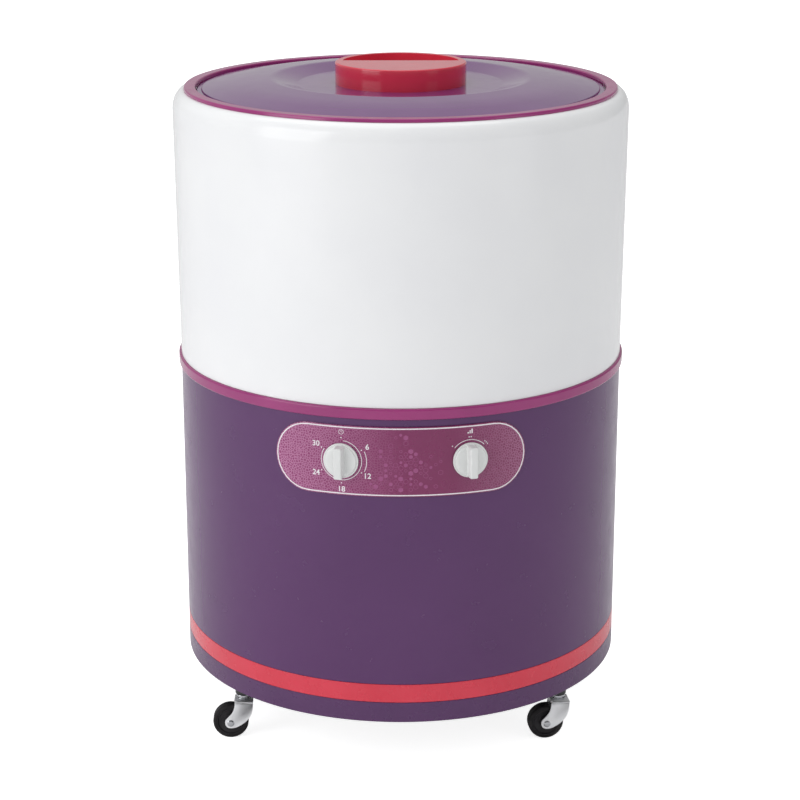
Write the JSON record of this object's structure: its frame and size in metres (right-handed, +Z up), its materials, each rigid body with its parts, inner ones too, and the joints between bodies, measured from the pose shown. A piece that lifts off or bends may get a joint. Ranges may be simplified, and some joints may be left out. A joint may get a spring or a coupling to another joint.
{
  "type": "agitator washing machine",
  "caption": "Round top-loading agitator washer with a lift-off lid, dial control panel, belt and planetary drive, drain outlet and swivel casters.",
  "frame": {"origin": "on the floor under the machine's vertical axis, centred between the casters", "axes": "+Z up, -Y towards the control panel at the front, +X to the right seen from the front"},
  "size_m": [0.627, 0.6416, 0.934],
  "materials": {
    "white_shell": "glossy moulded white",
    "tub_plastic": "satin moulded",
    "magenta_plastic": "glossy moulded magenta",
    "cabinet_paint": "gloss purple paint",
    "skirt_plastic": "glossy moulded purple",
    "coral_band": "glossy coral strip",
    "coral_plastic": "glossy moulded coral",
    "lid_plastic": "glossy moulded purple",
    "panel_overlay": "printed overlay",
    "dial_plastic": "pale grey moulded",
    "zinc_steel": "zinc plated",
    "black_steel": "black painted",
    "shaft_steel": "ground",
    "gear_plastic": "natural nylon",
    "gearbox_metal": "cast",
    "pulley_metal": "cast",
    "bush_bronze": "sintered",
    "rubber_black": "moulded",
    "wheel_rubber": "moulded",
    "hose_rubber": "flexible",
    "stator_iron": "laminated",
    "switch_plastic": "moulded",
    "grey_plastic": "moulded"
  },
  "bodies": {
    "root": {"upper_shell": "white_shell", "wash_tub": "tub_plastic", "tub_rim": "magenta_plastic", "middle_band": "magenta_plastic", "lower_cabinet": "cabinet_paint", "accent_band": "coral_band", "base_skirt": "skirt_plastic", "chassis": "black_steel", "cabinet_bolts": "zinc_steel", "caster_sockets": "black_steel", "control_panel": "panel_overlay", "panel_bracket": "zinc_steel", "panel_screws": "zinc_steel", "wash_timer": "switch_plastic", "force_switch": "switch_plastic", "gearbox_housing": "gearbox_metal", "gearbox_cover": "gearbox_metal", "ring_gear": "gear_plastic", "neck_nut": "grey_plastic", "shaft_seal": "rubber_black", "shaft_bushes": "bush_bronze", "support_frame": "zinc_steel", "drive_bolts": "zinc_steel", "motor_housing": "black_steel", "motor_stator": "stator_iron", "motor_mount": "zinc_steel", "motor_grommets": "rubber_black", "drive_belt": "rubber_black", "capacitor": "grey_plastic", "drain_strainer": "grey_plastic", "drain_fitting": "grey_plastic", "drain_hose": "hose_rubber", "hose_clamps": "zinc_steel", "drain_outlet": "grey_plastic", "cord_gland": "switch_plastic"},
    "lid": {"lid_panel": "lid_plastic", "lid_knob": "coral_plastic", "lid_knob_screws": "zinc_steel"},
    "agitator": {"agitator": "white_shell", "agitator_cap": "white_shell", "agitator_bolt": "zinc_steel", "output_shaft": "shaft_steel", "planet_carrier": "shaft_steel"},
    "input_shaft": {"sun_shaft": "shaft_steel", "drive_pulley": "pulley_metal"},
    "planet_1": {"planet_gear_1": "gear_plastic"},
    "planet_2": {"planet_gear_2": "gear_plastic"},
    "planet_3": {"planet_gear_3": "gear_plastic"},
    "motor_rotor": {"motor_rotor": "shaft_steel", "motor_pulley": "pulley_metal"},
    "timer_dial": {"timer_knob": "dial_plastic"},
    "force_dial": {"force_knob": "dial_plastic"},
    "caster_1": {"caster_fork_1": "zinc_steel"},
    "wheel_1": {"caster_wheel_1": "wheel_rubber"},
    "caster_2": {"caster_fork_2": "zinc_steel"},
    "wheel_2": {"caster_wheel_2": "wheel_rubber"},
    "caster_3": {"caster_fork_3": "zinc_steel"},
    "wheel_3": {"caster_wheel_3": "wheel_rubber"},
    "caster_4": {"caster_fork_4": "zinc_steel"},
    "wheel_4": {"caster_wheel_4": "wheel_rubber"}
  },
  "joints": [
    {"name": "lid_lift", "type": "slide", "parent": "root", "child": "lid", "axis": [0, 0, 1], "range_m": [0, 0.25]},
    {"name": "agitator_spin", "type": "hinge", "parent": "root", "child": "agitator", "pos_m": [0, 0, 0.45], "axis": [0, 0, 1], "continuous": true},
    {"name": "input_spin", "type": "hinge", "parent": "root", "child": "input_shaft", "pos_m": [0, 0, 0.272], "axis": [0, 0, 1], "continuous": true},
    {"name": "planet_1_spin", "type": "hinge", "parent": "agitator", "child": "planet_1", "pos_m": [0.03, 0, 0.372], "axis": [0, 0, 1], "continuous": true},
    {"name": "planet_2_spin", "type": "hinge", "parent": "agitator", "child": "planet_2", "pos_m": [-0.015, 0.02598, 0.372], "axis": [0, 0, 1], "continuous": true},
    {"name": "planet_3_spin", "type": "hinge", "parent": "agitator", "child": "planet_3", "pos_m": [-0.015, -0.02598, 0.372], "axis": [0, 0, 1], "continuous": true},
    {"name": "motor_spin", "type": "hinge", "parent": "root", "child": "motor_rotor", "pos_m": [0.15975, 0.05814, 0.34], "axis": [0, 0, 1], "continuous": true},
    {"name": "timer_turn", "type": "hinge", "parent": "root", "child": "timer_dial", "pos_m": [-0.07657, -0.3004, 0.46], "axis": [-0.247, -0.969, 0], "range_deg": [-300, 0]},
    {"name": "force_turn", "type": "hinge", "parent": "root", "child": "force_dial", "pos_m": [0.08908, -0.29692, 0.46], "axis": [0.2874, -0.9578, 0], "range_deg": [-50, 50]},
    {"name": "caster_1_swivel", "type": "hinge", "parent": "root", "child": "caster_1", "pos_m": [-0.222, -0.16, 0.058], "axis": [0, 0, 1], "continuous": true},
    {"name": "wheel_1_spin", "type": "hinge", "parent": "caster_1", "child": "wheel_1", "pos_m": [-0.23999, -0.16063, 0.025], "axis": [-0.0349, 0.9994, 0], "continuous": true},
    {"name": "caster_2_swivel", "type": "hinge", "parent": "root", "child": "caster_2", "pos_m": [0.222, -0.16, 0.058], "axis": [0, 0, 1], "continuous": true},
    {"name": "wheel_2_spin", "type": "hinge", "parent": "caster_2", "child": "wheel_2", "pos_m": [0.20417, -0.16251, 0.025], "axis": [-0.1392, 0.9903, 0], "continuous": true},
    {"name": "caster_3_swivel", "type": "hinge", "parent": "root", "child": "caster_3", "pos_m": [-0.222, 0.16, 0.058], "axis": [0, 0, 1], "continuous": true},
    {"name": "wheel_3_spin", "type": "hinge", "parent": "caster_3", "child": "wheel_3", "pos_m": [-0.23947, 0.16436, 0.025], "axis": [0.2419, 0.9703, 0], "continuous": true},
    {"name": "caster_4_swivel", "type": "hinge", "parent": "root", "child": "caster_4", "pos_m": [0.222, 0.16, 0.058], "axis": [0, 0, 1], "continuous": true},
    {"name": "wheel_4_spin", "type": "hinge", "parent": "caster_4", "child": "wheel_4", "pos_m": [0.2052, 0.15355, 0.025], "axis": [-0.3584, 0.9336, 0], "continuous": true}
  ],
  "couplings": [
    {"joint": "input_spin", "follows": "agitator_spin", "ratio": 5},
    {"joint": "motor_spin", "follows": "agitator_spin", "ratio": 20},
    {"joint": "planet_1_spin", "follows": "agitator_spin", "ratio": -2.6667},
    {"joint": "planet_2_spin", "follows": "agitator_spin", "ratio": -2.6667},
    {"joint": "planet_3_spin", "follows": "agitator_spin", "ratio": -2.6667}
  ]
}
